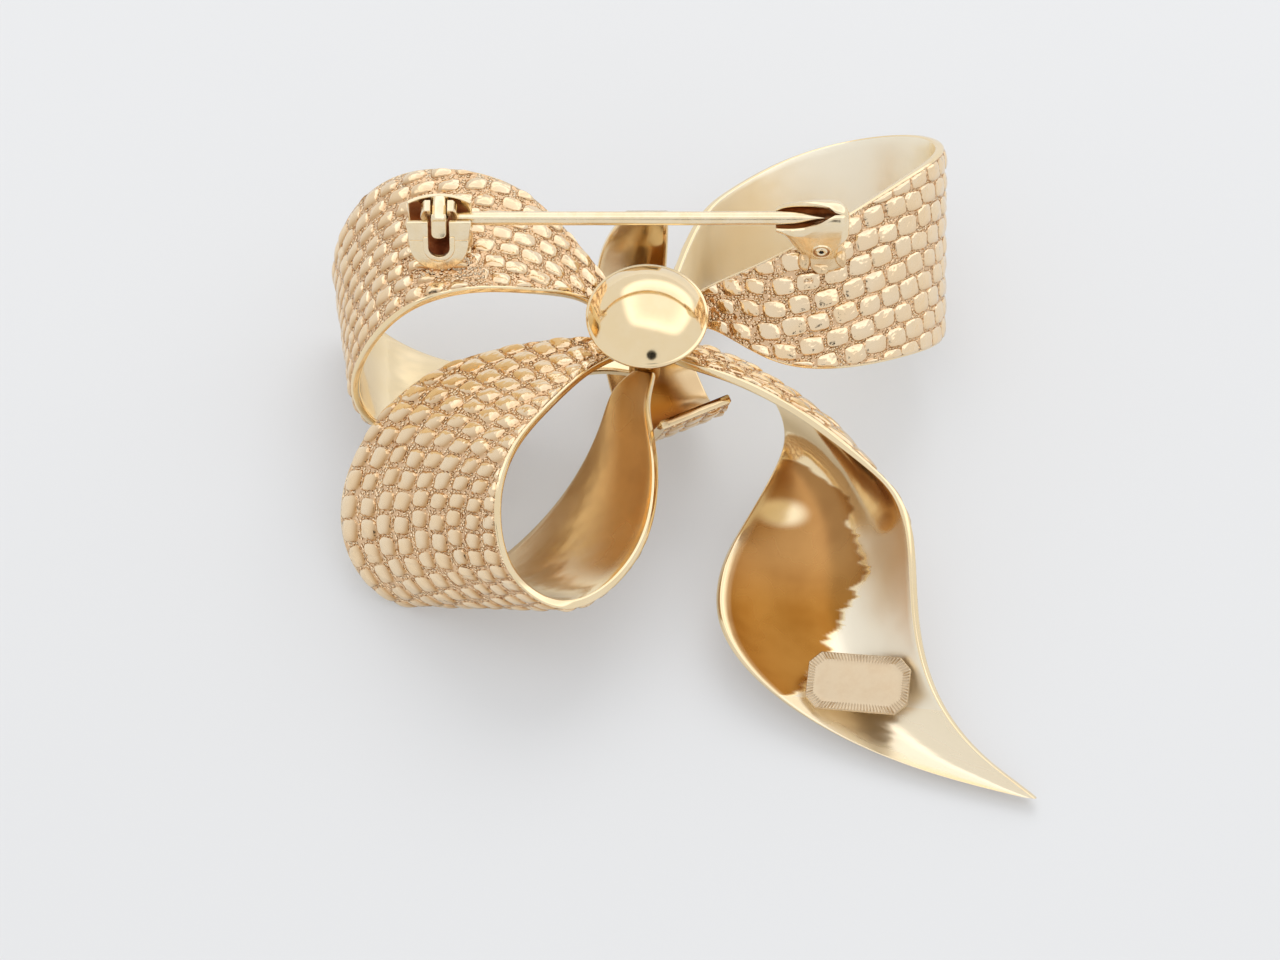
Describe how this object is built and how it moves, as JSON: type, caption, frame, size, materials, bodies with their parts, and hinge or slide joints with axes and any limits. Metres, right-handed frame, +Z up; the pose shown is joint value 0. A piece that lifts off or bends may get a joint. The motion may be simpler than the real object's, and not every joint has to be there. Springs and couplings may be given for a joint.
{
  "type": "bow brooch",
  "caption": "Bow-shaped brooch of scaled metal ribbons with a domed back cap, hinged pin, open catch and a bare maker's plate, lying face down.",
  "frame": {"origin": "middle of the outline's box, on the surface that the brooch lies on face down", "axes": "+X along the pin from its hinge to its point, +Y toward the side of the bow that the pin is on, +Z up out of the brooch's back"},
  "size_m": [0.0568, 0.058, 0.0231],
  "materials": {
    "textured_gold": "polished",
    "cap_gold": "polished",
    "findings_gold": "polished",
    "plate_gold": "satin"
  },
  "bodies": {
    "bow": {"upper_left_loop": "textured_gold", "lower_left_loop": "textured_gold", "right_loop": "textured_gold", "tail": "textured_gold", "knot_band": "textured_gold", "back_cap": "cap_gold", "pin_joint": "findings_gold", "catch": "findings_gold", "maker_plate": "plate_gold"},
    "pin": {"pin_stem": "findings_gold"}
  },
  "joints": [
    {"name": "pin_hinge", "type": "hinge", "parent": "bow", "child": "pin", "pos_m": [-0.01862, 0.01201, 0.02218], "axis": [0, -1, 0], "range_deg": [0, 80]}
  ]
}
